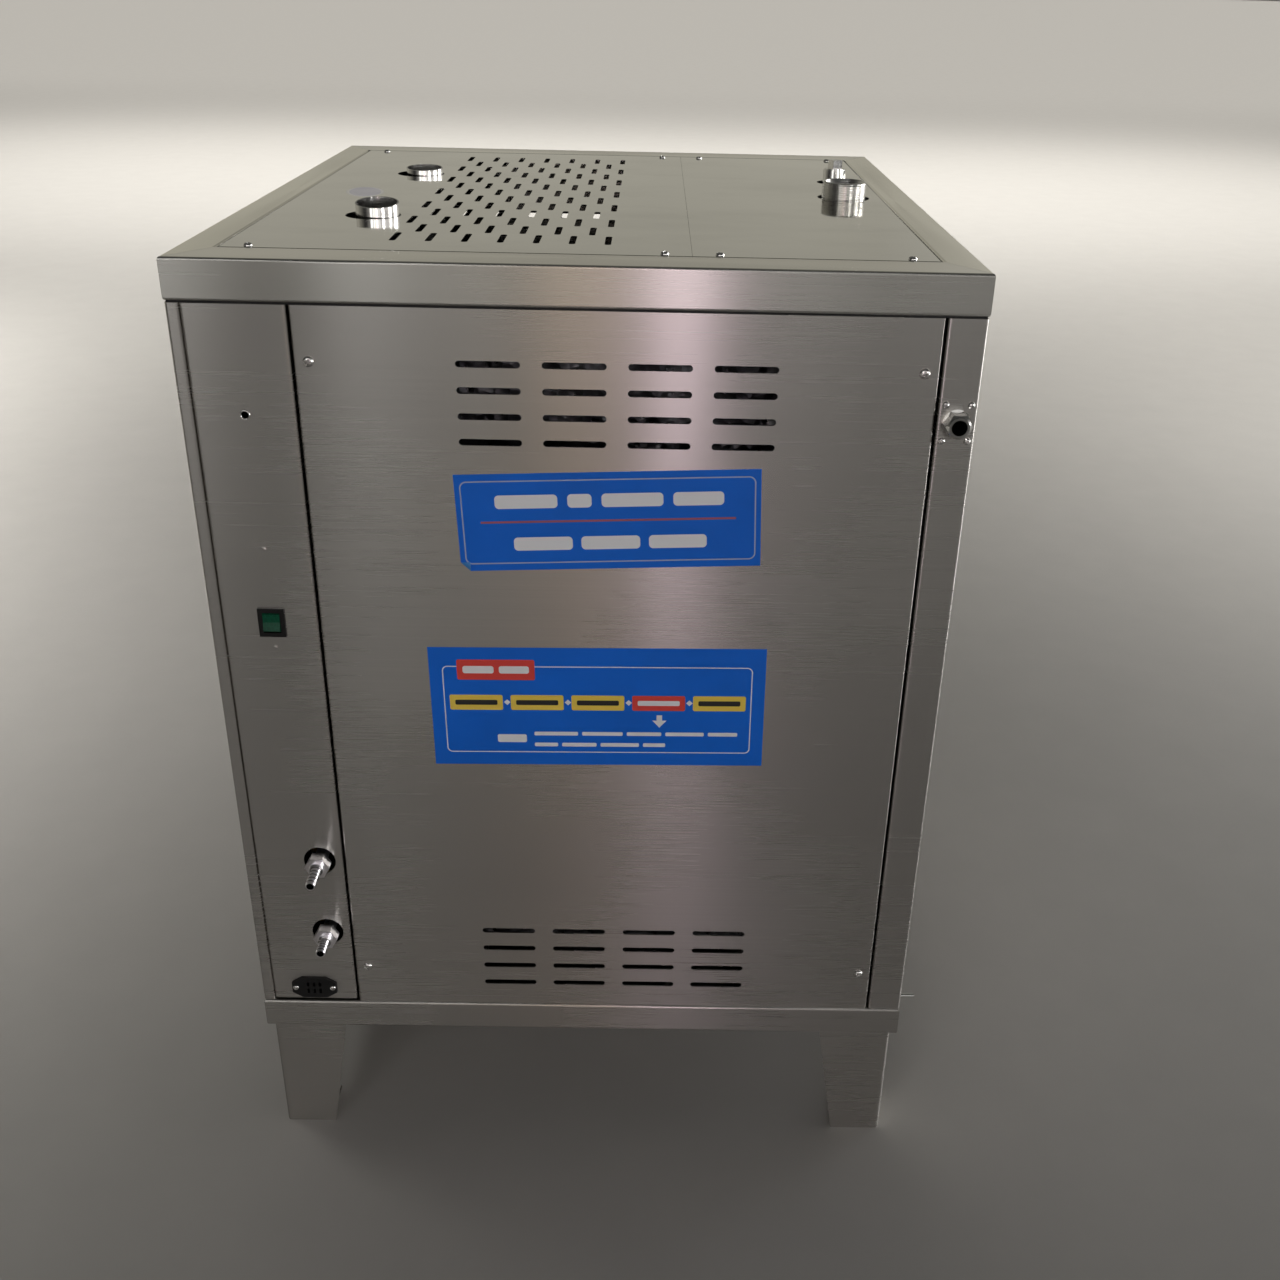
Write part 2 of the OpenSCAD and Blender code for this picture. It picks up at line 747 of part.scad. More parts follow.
// Solenoid valve behind each hose tail: body against the post, coil towards the side
module gas_valve(z) {
    size = [40, 44, 36];
    coil_d = 32;
    coil_l = 36;
    color(brass) place() translate([barb_x, valve_y, z]) {
        translate([-size[0] / 2, 0, -size[2] / 2]) cube(size);
        translate([0, size[1] / 2, 0]) rotate([0, -90, 0])
            cylinder(d = coil_d, h = size[0] / 2 + coil_l);
    }
}
module gas_valve_upper() gas_valve(barb_z[0]);
module gas_valve_lower() gas_valve(barb_z[1]);

// Power socket: flange with cut corners, body behind it and six contact slots
module power_socket() {
    flange_t = 3;
    body_d = 26;
    cut_x = 11;
    cut_z = 7;
    w = socket_w / 2;
    h = socket_h / 2;
    color(black) place() translate([service_x, 0, socket_z]) difference() {
        union() {
            through_y(panel_set - flange_t, panel_set) polygon([
                [-w, -h + cut_z], [-w + cut_x, -h], [w - cut_x, -h], [w, -h + cut_z],
                [w, h - cut_z], [w - cut_x, h], [-w + cut_x, h], [-w, h - cut_z]
            ]);
            through_y(panel_set - flange_t, panel_set + body_d)
                square([socket_body_w, socket_body_h], center = true);
        }
        through_y(panel_set - flange_t - past, panel_set + 8)
            for (column = [-1:1], row = [-0.5, 0.5])
                translate([column * 6.5, row * 9]) square([2.5, 5.5], center = true);
    }
}

// Frame of the switch: rim in front of the panel and a box behind it, with the trunnion holes
module switch_frame() {
    proud = 2;
    box_d = 20;
    box_x = switch_w - 2;
    box_z = switch_h - 2;
    open_x = rocker_w + 2 * rocker_gap;
    open_z = 2 * (rocker_r + rocker_gap);
    color(black) place() translate([switch_x, 0, switch_z]) difference() {
        union() {
            through_y(panel_set - proud, panel_set) square([switch_w, switch_h], center = true);
            through_y(panel_set - proud, panel_set + box_d) square([box_x, box_z], center = true);
        }
        through_y(panel_set - proud - past, rocker_y + rocker_r + rocker_gap)
            square([open_x, open_z], center = true);
        translate([0, rocker_y, 0]) rotate([0, 90, 0])
            cylinder(d = trunnion_d + trunnion_fit, h = open_x + 2, center = true, $fn = 24);
    }
}

// Rocker: part of a drum about its trunnions, with a face of two shallow slopes, shown
// with its lower half out
module switch_rocker() {
    crown = 4.2;
    slope = rocker_r * tan(rocker_tilt);
    color(green) place() translate([switch_x, rocker_y, switch_z])
    rotate([-rocker_tilt, 0, 0]) {
        intersection() {
            rotate([0, 90, 0]) cylinder(r = rocker_r, h = rocker_w, center = true, $fn = 64);
            along_x(rocker_w) polygon([
                [rocker_r / 2, -rocker_r], [rocker_r / 2, rocker_r],
                [-crown - slope, rocker_r], [-crown, 0], [-crown - slope, -rocker_r]
            ]);
        }
        rotate([0, 90, 0])
            cylinder(d = trunnion_d, h = rocker_w + 2 * rocker_gap + 1.6, center = true, $fn = 24);
    }
}

// Small pin that stands out of the right side just above the base rail
module side_pin()
    color(polished) place() translate([side_x - edge_turn / 2, pin_y, pin_z]) rotate([0, 90, 0])
        cylinder(d = pin_d, h = edge_turn / 2 + half_w - side_x + pin_reach, $fn = 24);

leg_front_left();
leg_front_right();
leg_back_left();
leg_back_right();
base_rail_front();
base_rail_back();
base_rail_left();
base_rail_right();
floor_pan();
side_panel_left();
side_panel_right();
back_panel();
service_panel();
access_panel();
mullion_left();
mullion_right();
rim_front();
rim_back();
rim_left();
rim_right();
rim_seal();
top_plate_left();
top_plate_right();
top_bearer();
boiler_body();
cradle_left();
cradle_right();
flue_stub_front();
flue_stub_rear();
steam_stub();
test_nipple();
nipple_plug();
steam_outlet();
outlet_pipe();
hose_tail_upper();
hose_tail_lower();
gas_valve_upper();
gas_valve_lower();
power_socket();
switch_frame();
switch_rocker();
side_pin();
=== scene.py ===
# %% [markdown]
# # A gas-fired steam boiler in a stainless cabinet
# The boiler is a sheet-metal cabinet on four folded legs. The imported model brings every
# piece of sheet, pipe and plastic at its true size. What is missing is the way it looks:
# the brushed grain of the panels, the mirror of the top plates, screws, a thread and two
# printed labels. This lesson adds them one at a time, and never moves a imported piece.

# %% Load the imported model
from math import atan, cos, degrees, pi, radians, sin

import bpy
import numpy as np
from mathutils import Matrix, Vector


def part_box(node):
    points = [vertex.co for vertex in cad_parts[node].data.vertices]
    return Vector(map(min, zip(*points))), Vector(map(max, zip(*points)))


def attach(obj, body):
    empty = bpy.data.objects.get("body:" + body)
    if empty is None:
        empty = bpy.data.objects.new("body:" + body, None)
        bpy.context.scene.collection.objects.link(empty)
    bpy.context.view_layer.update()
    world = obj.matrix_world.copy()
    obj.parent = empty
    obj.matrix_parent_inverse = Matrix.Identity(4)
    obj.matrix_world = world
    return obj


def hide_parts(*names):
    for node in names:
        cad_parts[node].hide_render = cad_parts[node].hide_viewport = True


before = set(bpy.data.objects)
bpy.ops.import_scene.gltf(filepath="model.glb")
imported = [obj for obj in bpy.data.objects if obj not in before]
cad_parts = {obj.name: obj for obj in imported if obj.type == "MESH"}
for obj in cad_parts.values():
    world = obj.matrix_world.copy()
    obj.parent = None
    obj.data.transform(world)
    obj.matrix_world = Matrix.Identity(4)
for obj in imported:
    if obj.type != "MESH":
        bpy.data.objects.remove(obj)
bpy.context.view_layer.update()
scene = bpy.context.scene
mm = 0.001

# %% [markdown]
# ## The camera
# The photograph was taken from chest height, close to the cabinet and a little to its
# right, with the phone turned by about a degree. Its place was worked out from the
# corners of the cabinet, the legs and the slots. Numbers from such a fit are best kept as
# they are: a camera that is only placed by eye bends every proportion of the object.

# %% Camera at the photograph's viewing angle
photo_size = 1280
focal_px = 1350.5
centre_px = (659.74, 661.04)
camera_place = Vector((0.05429, -1.5304, 1.2005))
yaw, pitch, roll = (radians(a) for a in (0.68692, -27.092, 1.3327))
forward = Vector((sin(yaw) * cos(pitch), cos(yaw) * cos(pitch), sin(pitch)))
level = Vector((cos(yaw), -sin(yaw), 0))
upright = level.cross(forward)
across = level * cos(roll) + upright * sin(roll)
upward = upright * cos(roll) - level * sin(roll)

lens = bpy.data.cameras.new("camera")
lens.sensor_width = 36
lens.lens = focal_px * lens.sensor_width / photo_size
lens.shift_x = (photo_size / 2 - centre_px[0]) / photo_size
lens.shift_y = (centre_px[1] - photo_size / 2) / photo_size
lens.clip_start, lens.clip_end = 0.05, 500
camera = bpy.data.objects.new("camera", lens)
scene.collection.objects.link(camera)
turn = Matrix((across, upward, -forward)).transposed()
camera.matrix_world = Matrix.Translation(camera_place) @ turn.to_4x4()
scene.camera = camera
print("field of view", round(2 * degrees(atan(photo_size / 2 / focal_px)), 1), "degrees")

# %% [markdown]
# ## Shader maths in plain expressions
# A procedural finish is a sum of small signals: how far a point is from a line, how much
# of a streak it is on. Written node by node, that maths is hard to read. A small class
# that wraps one socket and overloads the operators lets Python lay the nodes: adding two
# signals adds a Math node. The reflected forms let a number stand on the left side, so
# that `1 - mask` works. Colours don't go through it, because a Math node turns them grey.


# %% A socket that understands + - * /
class Signal:
    """One socket of a finish; an expression on signals lays the Math nodes it needs."""

    def __init__(self, finish, socket):
        self.finish, self.socket = finish, socket

    def maths(self, operation, *others, clamped=False):
        settings = {"operation": operation, "use_clamp": clamped}
        return self.finish.node("Math", settings, {0: self, **dict(enumerate(others, 1))})[0]

    def __add__(self, other): return self.maths("ADD", other)
    def __sub__(self, other): return self.maths("SUBTRACT", other)
    def __mul__(self, other): return self.maths("MULTIPLY", other)
    def __truediv__(self, other): return self.maths("DIVIDE", other)
    def __rsub__(self, other): return (self * -1) + other
    def __abs__(self): return self.maths("ABSOLUTE")
    __radd__, __rmul__ = __add__, __mul__

    def lower(self, other): return self.maths("MINIMUM", other)
    def upper(self, other): return self.maths("MAXIMUM", other)
    def root(self): return self.maths("SQRT")
    def rounded(self): return self.maths("ROUND")
    def clamp(self): return self.maths("ADD", 0.0, clamped=True)


class Laid:
    """A node that was laid: its outputs by number or name, as signals."""

    def __init__(self, finish, node):
        self.finish, self.node = finish, node

    def __getitem__(self, key):
        return Signal(self.finish, self.node.outputs[key])


class Finish:
    """One material: lays nodes and ends in a Principled shader."""

    def __init__(self, name):
        self.material = bpy.data.materials.new(name)
        self.material.use_nodes = True
        self.tree = self.material.node_tree
        self.tree.nodes.clear()

    def node(self, kind, settings=None, inputs=None):
        """Lays one node: its settings first, then its inputs, each a number or a link."""
        node = self.tree.nodes.new("ShaderNode" + kind)
        for key, value in (settings or {}).items():
            setattr(node, key, value)
        for key, value in (inputs or {}).items():
            if isinstance(value, Signal):
                self.tree.links.new(value.socket, node.inputs[key])
            elif node.inputs[key].type == "RGBA":
                node.inputs[key].default_value = (*value, 1)
            else:
                node.inputs[key].default_value = value
        return Laid(self, node)

    def place(self, centre=(0, 0, 0), turn=(0, 0, 0), unit=1.0):
        """Object coordinates, measured from centre in the given unit, turned back."""
        point = self.node("TexCoord")["Object"]
        return self.node("Mapping", {"vector_type": "TEXTURE"}, {
            "Vector": point, "Location": centre, "Rotation": turn, "Scale": (unit,) * 3})[0]

    def stretched(self, point, scale):
        return self.node("VectorMath", {"operation": "MULTIPLY"}, {0: point, 1: scale})[0]

    def noise(self, point, scale, detail=2.0, rough=0.5):
        return self.node("TexNoise", None, {
            "Vector": point, "Scale": scale, "Detail": detail, "Roughness": rough})[0]

    def mix(self, factor, first, second):
        """A colour on the way from first to second."""
        return self.node("Mix", {"data_type": "RGBA"}, {0: factor, 6: first, 7: second})[2]

    def bump(self, height, depth, under=None):
        """Tilts the normal as if height, from 0 to 1, were depth metres high."""
        inputs = {"Height": height, "Strength": 1.0, "Distance": depth}
        if under:
            inputs["Normal"] = under
        return self.node("Bump", None, inputs)[0]

    def end(self, **inputs):
        """The Principled shader; an underscore in a name stands for a space."""
        named = {key.replace("_", " "): value for key, value in inputs.items()}
        shader = self.node("BsdfPrincipled", None, named)
        self.node("OutputMaterial", None, {"Surface": shader[0]})
        return self.material


print("Signal, Laid and Finish are ready")

# %% [markdown]
# ## Brushed stainless sheet
# Every panel, rail and leg is cut from sheet with a fine grain that runs level. Light
# from one side smears across such a grain, so a bright thing stands in the sheet as a
# tall band. Three layers make it: an anisotropic highlight turned upright, fine streaks
# in roughness and height, and a slow wave in the sheet that bends what is mirrored. The
# rim's level flange is smoother than its face, so a mask by height lowers its roughness
# and paints a much paler tone on it, a painted highlight.

# %% Brushed steel with a level grain
brushed_rough, polished_rough = 0.27, 0.10
flange_under, per_metre = 978.6 * mm, 2000


def brushed_steel(name, run, tone=(0.445, 0.425, 0.400), wave=0.0014, scratch=0.0000009,
                  flange_tone_and_sheen=None):
    """Noise squeezed across the grain gives streaks; run is how many there are in a metre
    along each axis. The flange tone is a painted highlight for what lies higher than the
    flange's underside."""
    steel = Finish(name)
    point = steel.place()
    streak = steel.noise(steel.stretched(point, run), 1.0, detail=2, rough=0.7)
    cloud = steel.noise(point, 3.1, detail=3, rough=0.55)
    sheet_wave = steel.noise(steel.stretched(point, (1.0, 1.0, 0.5)), 4.2, detail=1, rough=0.35)
    bent = steel.bump(sheet_wave, wave)
    worn = steel.bump(streak, scratch, under=bent)
    deep, pale = tuple(0.94 * t for t in tone), tuple(1.05 * t for t in tone)
    grain = ((streak - 0.5) * 1.2 + (cloud - 0.5) * 0.6 + 0.5).clamp()
    colour = steel.mix(grain, deep, pale)
    roughness = (streak - 0.5) * 0.035 + (cloud - 0.5) * 0.08 + brushed_rough
    # painted highlight: the flange's paler tone stands in for the light it catches
    if flange_tone_and_sheen:
        height = steel.node("SeparateXYZ", None, {0: point})["Z"]
        flat = ((height - flange_under) * per_metre).clamp()
        colour = steel.mix(flat, colour, flange_tone_and_sheen)
        roughness = roughness - flat * (brushed_rough - polished_rough)
    return steel.end(
        Base_Color=colour, Metallic=1.0, Roughness=roughness,
        Anisotropic=1.0, Anisotropic_Rotation=0.25, Normal=worn)


grain_lines = 620
panel_steel = brushed_steel("brushed_panel_steel", (2, 2, grain_lines))
print("streaks", round(1000 / grain_lines, 1), "mm across the grain")

# %% [markdown]
# ## The rim
# The rim is folded from the same sheet, but its grain follows each length, so the noise
# is squeezed along other axes. The tone of its flanges is a painted highlight, paler on
# the side rims than on the front and back.

# %% Rim steel for the two directions
rim_look = {"tone": (0.50, 0.485, 0.45), "wave": 0.0008, "scratch": 0.0000008}
# the flange tones are painted highlight, paler on the side rims than on the front and back
front_rim_steel = brushed_steel("rim_steel_level", (2, grain_lines, grain_lines), **rim_look,
                                flange_tone_and_sheen=(0.76, 0.74, 0.69))
side_rim_steel = brushed_steel("rim_steel_deep", (grain_lines, 2, grain_lines), **rim_look,
                               flange_tone_and_sheen=(0.92, 0.89, 0.80))
print("flange tone from", flange_under / mm, "mm up")

# %% [markdown]
# ## The mirror plates
# The two top plates are mirror sheet: hardly any roughness, a slow wave, and the faint
# smears that hands leave. The left one carries an oval stamp beside the flue stubs. It is
# drawn here as a plain oval with a paler ring, because its lettering is left out.


# %% Mirror sheet
def mirror_sheet(name, stamp=None):
    """A slow wave in the normal, and smears where noise is high, as roughness. A stamp is
    an oval: each coordinate is taken over its half size, and ink lies where the root of
    the sum of their squares is below 1, with a paler ring just inside."""
    sheet = Finish(name)
    point = sheet.place()
    wave = sheet.bump(sheet.noise(point, 3.2, detail=1), 0.0016)
    touched = sheet.noise(sheet.stretched(point, (1, 2.2, 1)), 7, detail=5, rough=0.6)
    smear = (touched * 2.4 - 1.1).clamp()
    colour = sheet.mix(smear, (0.76, 0.75, 0.72), (0.68, 0.67, 0.64))
    roughness = smear * 0.14 + 0.05
    if stamp:
        centre, tilt, half_u, half_v = stamp
        local = sheet.place(centre, (0, 0, radians(tilt)), mm)
        parts = sheet.node("SeparateXYZ", None, {0: local})
        u, v = parts["X"] / half_u, parts["Y"] / half_v
        oval = (u * u + v * v).root()
        ink = (12 - oval * 12).clamp()
        ring = (1 - abs(oval - 0.88) * 12).clamp()
        colour = sheet.mix(ink * 0.9, colour, (0.74, 0.74, 1.0))
        colour = sheet.mix(ring * 0.9, colour, (1.0, 1.0, 1.0))
        roughness = roughness + ink * 0.12
    return sheet.end(Base_Color=colour, Metallic=1.0, Roughness=roughness, Normal=wave)


stamp_centre, stamp_tilt, stamp_half_sizes = (-258.4 * mm, 5.5 * mm, 980 * mm), 11, (20.5, 38.5)
mirror_steel = mirror_sheet("mirror_sheet")
stamped_mirror = mirror_sheet(
    "stamped_mirror_sheet", (stamp_centre, stamp_tilt, *stamp_half_sizes))
print("stamp", [2 * half for half in stamp_half_sizes], "mm")

# %% [markdown]
# ## Pipes and fittings
# The pipes are drawn, so their lines run round them, and the turned fittings are the
# brightest metal on the cabinet. One function serves all of them: noise is squeezed
# along the axis that the piece was turned about.


# %% Drawn pipe and turned fittings
def round_metal(name, tone, rough, line_axis, lines=1400, depth=0.00003):
    """Fine lines at right angles to the axis that the piece was turned about."""
    metal = Finish(name)
    point = metal.place()
    squeeze = tuple(lines if axis == line_axis else 6 for axis in range(3))
    line = metal.noise(metal.stretched(point, squeeze), 1.0, detail=2)
    spot = metal.noise(point, 60, detail=4, rough=0.6)
    return metal.end(
        Base_Color=metal.mix(spot, tuple(0.8 * t for t in tone), tone), Metallic=1.0,
        Roughness=(line - 0.5) * 0.1 + (spot - 0.5) * 0.15 + rough,
        Normal=metal.bump(line, depth))


pipe_steel = round_metal("drawn_pipe_steel", (0.80, 0.79, 0.77), 0.16, 2)
thread_steel = round_metal("cut_thread_steel", (0.74, 0.73, 0.70), 0.24, 2)
turned_steel = round_metal("turned_fitting_steel", (0.80, 0.79, 0.77), 0.16, 1)
screw_steel = round_metal("screw_steel", (0.72, 0.71, 0.69), 0.22, 1, lines=200)
brass = round_metal("forged_brass", (0.72, 0.52, 0.22), 0.32, 0, lines=90)
round_metals = (pipe_steel, thread_steel, turned_steel, screw_steel, brass)
print("round metals", [metal.name for metal in round_metals])

# %% [markdown]
# ## Ribbed hose tails
# A rubber hose is pushed over each gas inlet, and saw-toothed ribs hold it. The packed
# tails have a smooth outline, so the ribs are drawn as a wave along the tail: a painted
# shade darkens each groove, and a bump raises it. The open mouth at the tip is painted
# near black as painted shade.

# %% Ribs as a wave along the tail
rib_count, tail_bore_r = 5, 3.8 * mm
upper_ribbed, lower_ribbed = 28 * mm, 20 * mm


def ribbed_steel(node, ribbed_length):
    """How far a point is behind the tip, in ribs, less its nearest whole number, runs from
    -0.5 to 0.5 along each rib; behind the last rib the wave is held at nought. Nearer to
    the axis than the bore's radius the metal is painted near black as painted shade, and
    each groove gets painted shade too."""
    steel = Finish(node + "_steel")
    low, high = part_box(node)
    tip = ((low.x + high.x) / 2, low.y, (low.z + high.z) / 2)
    parts = steel.node("SeparateXYZ", None, {0: steel.place(tip)})
    along = parts["Y"] / (ribbed_length / rib_count)
    off_axis = (parts["X"] * parts["X"] + parts["Z"] * parts["Z"]).root()
    # painted shade: inside the bore the colour is near black
    bore = ((tail_bore_r - off_axis) * 10000).clamp()
    within = ((rib_count - along) * 4).clamp()
    tooth = (along - along.rounded() + 0.5) * within
    stain = steel.noise(steel.place(), 90, detail=3)
    worn = steel.mix(stain, (0.80, 0.77, 0.80), (0.97, 0.95, 0.97))
    # painted shade darkens each groove
    ribbed = steel.mix(((0.42 - tooth) * 5).clamp() * within, worn, (0.20, 0.19, 0.19))
    return steel.end(
        Base_Color=steel.mix(bore, ribbed, (0.01, 0.01, 0.01)), Metallic=1.0,
        Roughness=(stain - 0.5) * 0.2 + 0.30, Normal=steel.bump(tooth, 0.0009))


upper_tail_steel = ribbed_steel("hose_tail_upper", upper_ribbed)
lower_tail_steel = ribbed_steel("hose_tail_lower", lower_ribbed)
print("ribs", [round(run / rib_count / mm, 1) for run in (upper_ribbed, lower_ribbed)], "mm apart")


# %% [markdown]
# ## Foil, rubber and plastic
# Behind the slots the boiler body is wrapped in foil that was pressed on by hand, so its
# creases are flat facets with sharp edges: the distance to the nearest of many scattered
# points gives such facets. Its flat top lies in the dark under the plates, so a mask by
# height paints it near black as painted shade and leaves only the walls bright. Rubber
# and moulded plastic are dark and differ by gloss.

# %% Crinkled foil
foil_walls_end = 890 * mm


def crinkled_foil():
    """Height is the distance to the nearest of scattered points, at two sizes. Above the
    walls the colour is a painted shade.
    """
    foil = Finish("crinkled_foil")
    point = foil.place()
    large = foil.node("TexVoronoi", {"feature": "F1"}, {"Vector": point, "Scale": 38.0})[0]
    small = foil.node("TexVoronoi", {"feature": "F1"}, {"Vector": point, "Scale": 110.0})[0]
    crease = large * 0.7 + small * 0.3
    height = foil.node("SeparateXYZ", None, {0: point})["Z"]
    # painted shade: above this height the foil is coloured near black
    walls = ((foil_walls_end - height) * 200).clamp()
    glint = foil.mix(large, (0.26, 0.26, 0.27), (0.10, 0.10, 0.11))
    return foil.end(
        Base_Color=foil.mix(walls, (0.03, 0.03, 0.03), glint), Metallic=1.0,
        Roughness=small * 0.2 + 0.22, Normal=foil.bump(crease, 0.006))


# %% Rubber and moulded plastic
def dark_polymer(name, tone, rough, pits, depth):
    """Fine noise as height stands for the texture that the mould left."""
    polymer = Finish(name)
    point = polymer.place()
    pit = polymer.noise(point, pits, detail=3)
    dust = (polymer.noise(point, 30, detail=4) * 2 - 0.9).clamp()
    return polymer.end(
        Base_Color=polymer.mix(dust * 0.35, tone, tuple(t + 0.03 for t in tone)),
        Specular_IOR_Level=0.25,
        Roughness=(pit - 0.5) * 0.12 + rough, Normal=polymer.bump(pit, depth))


foil = crinkled_foil()
black_rubber = dark_polymer("seal_rubber", (0.012, 0.012, 0.012), 0.62, 700, 0.00006)
black_plastic = dark_polymer("moulded_black", (0.010, 0.010, 0.010), 0.42, 1600, 0.00003)
# painted shade: the steel posts behind the gaps are coloured a dull near black so the gaps read
# dark
mullion_shade_black = dark_polymer("mullion_painted_shade", (0.010, 0.010, 0.010), 0.7, 400, 0.00004)
print("dark finishes", [dark.name for dark in (black_rubber, black_plastic, mullion_shade_black)])

# %% [markdown]
# The rocker is dark green plastic that lets a little light in; that light is painted into
# its colour as painted light: cells between slightly brighter lines, under a slow change of
# brightness.


# %% Green rocker
def green_rocker():
    """Cells from scattered points, darker inside and bright along their edges, as painted
    light for the light let through.
    """
    green = Finish("green_rocker_plastic")
    point = green.place()
    cell = green.node(
        "TexVoronoi", {"feature": "DISTANCE_TO_EDGE"}, {"Vector": point, "Scale": 260.0})[0]
    edge = (1 - cell * 6).clamp()
    glow = green.noise(point, 90, detail=2)
    share = (edge * 0.3 + glow * 0.6).clamp()
    # painted light: the brighter cells and glow stand for light let through the plastic
    body = green.mix(share, (0.003, 0.035, 0.019), (0.010, 0.150, 0.075))
    return green.end(Base_Color=body, Roughness=0.34, Specular_IOR_Level=0.15,
                     Normal=green.bump(glow, 0.0002))


rocker_green = green_rocker()
print("made", rocker_green.name)

# %% [markdown]
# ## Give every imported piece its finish
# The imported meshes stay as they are: only the material in each object's slot changes. A
# short table from finish to nodes is easier to check than forty assignments, and the
# print shows at once if a node was forgotten.

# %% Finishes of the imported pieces
corners = ("front_left", "front_right", "back_left", "back_right")
sides = ("front", "back", "left", "right")
finish_of = {
    panel_steel: [f"leg_{c}" for c in corners] + [f"base_rail_{s}" for s in sides] + [
        "floor_pan", "side_panel_left", "side_panel_right", "back_panel", "service_panel",
        "access_panel", "top_bearer", "cradle_left", "cradle_right"],
    front_rim_steel: ["rim_front", "rim_back"],
    side_rim_steel: ["rim_left", "rim_right"],
    mirror_steel: ["top_plate_right"],
    stamped_mirror: ["top_plate_left"],
    pipe_steel: ["flue_stub_front", "flue_stub_rear", "steam_stub", "test_nipple",
                 "outlet_pipe", "side_pin"],
    turned_steel: ["nipple_plug", "steam_outlet"],
    upper_tail_steel: ["hose_tail_upper"],
    lower_tail_steel: ["hose_tail_lower"],
    foil: ["boiler_body"],
    brass: ["gas_valve_upper", "gas_valve_lower"],
    black_rubber: ["rim_seal"],
    # painted shade on the steel posts behind the gaps of the access panel
    mullion_shade_black: ["mullion_left", "mullion_right"],
    black_plastic: ["power_socket", "switch_frame"],
    rocker_green: ["switch_rocker"],
}


def paint(node, material):
    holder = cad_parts[node]
    if not holder.material_slots:
        holder.data.materials.append(material)
    for held in holder.material_slots:
        held.material = material


painted = [(node, material) for material, nodes in finish_of.items() for node in nodes]
for node, material in painted:
    paint(node, material)
print("painted", len(painted), "left out", sorted(set(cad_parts) - {n for n, _ in painted}))

# %% [markdown]
# ## Surfaces from arrays
# Each new piece is a surface over a grid of two parameters. Numpy works out all its
# points at once, and the same few lines of index arithmetic turn any such grid into
# faces. The signed volume of a closed skin tells which way its faces look, so the helper
# turns them outwards by itself.


# %% Closed skins from grids of points
def new_piece(name, points, faces, material, body="cabinet", crease=40):
    """A mesh from arrays. Its signed volume is the sum over its faces of a corner dotted
    with the cross product of the next two; where it is negative, the faces turn round."""
    corner = points[faces]
    volume = np.einsum("fi,fi->", corner[:, 0], np.cross(corner[:, 1], corner[:, 2]))
    volume += np.einsum("fi,fi->", corner[:, 0], np.cross(corner[:, 2], corner[:, 3]))
    if volume < 0:
        faces = faces[:, ::-1]
    mesh = bpy.data.meshes.new(name)
    kept = [tuple(dict.fromkeys(face)) for face in faces.tolist()]
    mesh.from_pydata(points.tolist(), [], kept)
    mesh.shade_smooth()
    mesh.set_sharp_from_angle(angle=radians(crease))
    mesh.materials.append(material)
    mesh.validate()
    piece = bpy.data.objects.new(name, mesh)
    scene.collection.objects.link(piece)
    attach(piece, body)
    print(f"{name}: {len(kept)} faces, {abs(volume) / 6 * 1e9:.1f} cubic mm")
    return piece


def wrapped_faces(rows, columns, closed_rows):
    """Corner numbers of the quads of a grid whose columns join up, and its rows too."""
    row = np.arange(rows if closed_rows else rows - 1)[:, None]
    column = np.arange(columns)[None, :]
    below, beside = (row + 1) % rows, (column + 1) % columns
    quads = [row * columns + column, row * columns + beside,
             below * columns + beside, below * columns + column]
    return np.stack(np.broadcast_arrays(*quads), -1).reshape(-1, 4)


def skins(grids, ends):
    """Points and faces of several like skins, given as (copies, rows, columns, 3). With
    ends as "poles" the first and last rows close on one point, with "ring" on each other."""
    copies, rows, columns, _ = grids.shape
    if ends == "poles":
        grids = grids.copy()
        grids[:, [0, -1]] = grids[:, [0, -1]].mean(axis=2, keepdims=True)
    faces = wrapped_faces(rows, columns, ends == "ring")
    number = np.arange(rows * columns)
    if ends == "poles":
        number[:columns], number[-columns:] = 0, (rows - 1) * columns
    faces = number[faces] + (np.arange(copies) * rows * columns)[:, None, None]
    return grids.reshape(-1, 3), faces.reshape(-1, 4)


def facing(direction, level_axis):
    """Columns are a level axis, the one at right angles to it, and the direction."""
    out, side = np.array(direction, float), np.array(level_axis, float)
    return np.stack([side, np.cross(out, side), out], -1)


front_face = facing((0, -1, 0), (1, 0, 0))
top_face = facing((0, 0, 1), (1, 0, 0))
print("grid helpers are ready")

# %% [markdown]
# ## Pan-head screws with a cross recess
# The access panel, the top plates, the steam outlet and the socket are held by small
# screws. A head is a polar grid: the height falls off with a high power of the radius,
# which gives a flat top and a round shoulder, and a cross-shaped mask sinks the recess.


# %% One screw head, placed many times
head_turns = (0.3, 1.1, 0.7, 0.2)


def pan_heads(name, places, frame_axes, head_d, head_h):
    """Height is head_h times the root of (1 - (r/R)^3); the recess takes away up to 0.6 of
    it where a point is near both arms' middle line and inside their length."""
    rings, columns = 18, 48
    r = np.concatenate([np.linspace(0.0, 0.97, rings), [1.0, 1.0, 0.0]])[:, None]
    angle = np.linspace(0, 2 * pi, columns, endpoint=False)[None, :]
    x, y = r * np.cos(angle), r * np.sin(angle)
    arm = np.minimum(np.abs(x), np.abs(y))
    reach = np.maximum(np.abs(x), np.abs(y))
    recess = np.clip((0.16 - arm) / 0.06, 0, 1) * np.clip((0.58 - reach) / 0.1, 0, 1)
    height = head_h * (np.sqrt(1 - r**3) - 0.6 * recess)
    height[-3:] = np.array([0.15 * head_h, -0.2 * mm, -0.2 * mm])[:, None]
    copies = []
    for number, place in enumerate(places):
        a = head_turns[number % len(head_turns)]
        turned = [x * cos(a) - y * sin(a), x * sin(a) + y * cos(a), 0 * x]
        local = np.stack(turned, -1) * head_d / 2
        local[..., 2] = height
        copies.append(local @ frame_axes.T + np.array(place))
    points, faces = skins(np.array(copies), "poles")
    return new_piece(name, points, faces, screw_steel)


